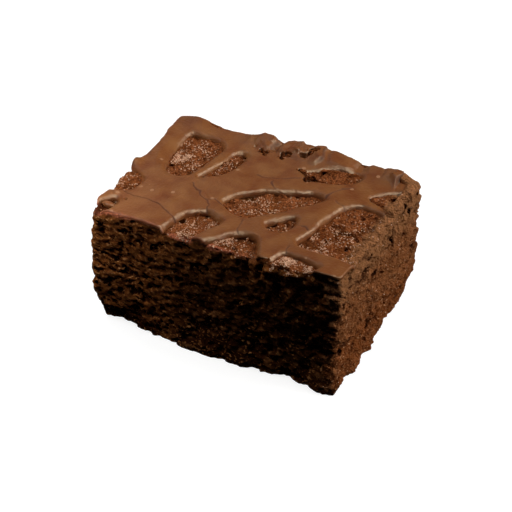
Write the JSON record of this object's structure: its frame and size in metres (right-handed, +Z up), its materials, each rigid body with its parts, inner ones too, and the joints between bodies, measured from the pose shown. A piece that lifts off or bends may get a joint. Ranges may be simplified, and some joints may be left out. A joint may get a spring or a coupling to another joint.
{
  "type": "chocolate brownie",
  "caption": "Square-cut chocolate brownie: a block of dark crumb with torn, pitted sides under a web of milk-chocolate icing.",
  "frame": {"origin": "on the ground, under the middle of the part's bounding box", "axes": "+X along the block's length, +Y along its width, +Z up from the cut base to the iced top"},
  "size_m": [0.074, 0.052, 0.0384],
  "materials": {
    "baked_crumb": "dark, matt, open baked crumb with sugary grains",
    "milk_chocolate": "set milk chocolate, smooth, softly glossy"
  },
  "bodies": {
    "root": {"crumb": "baked_crumb", "icing": "milk_chocolate"}
  },
  "joints": []
}
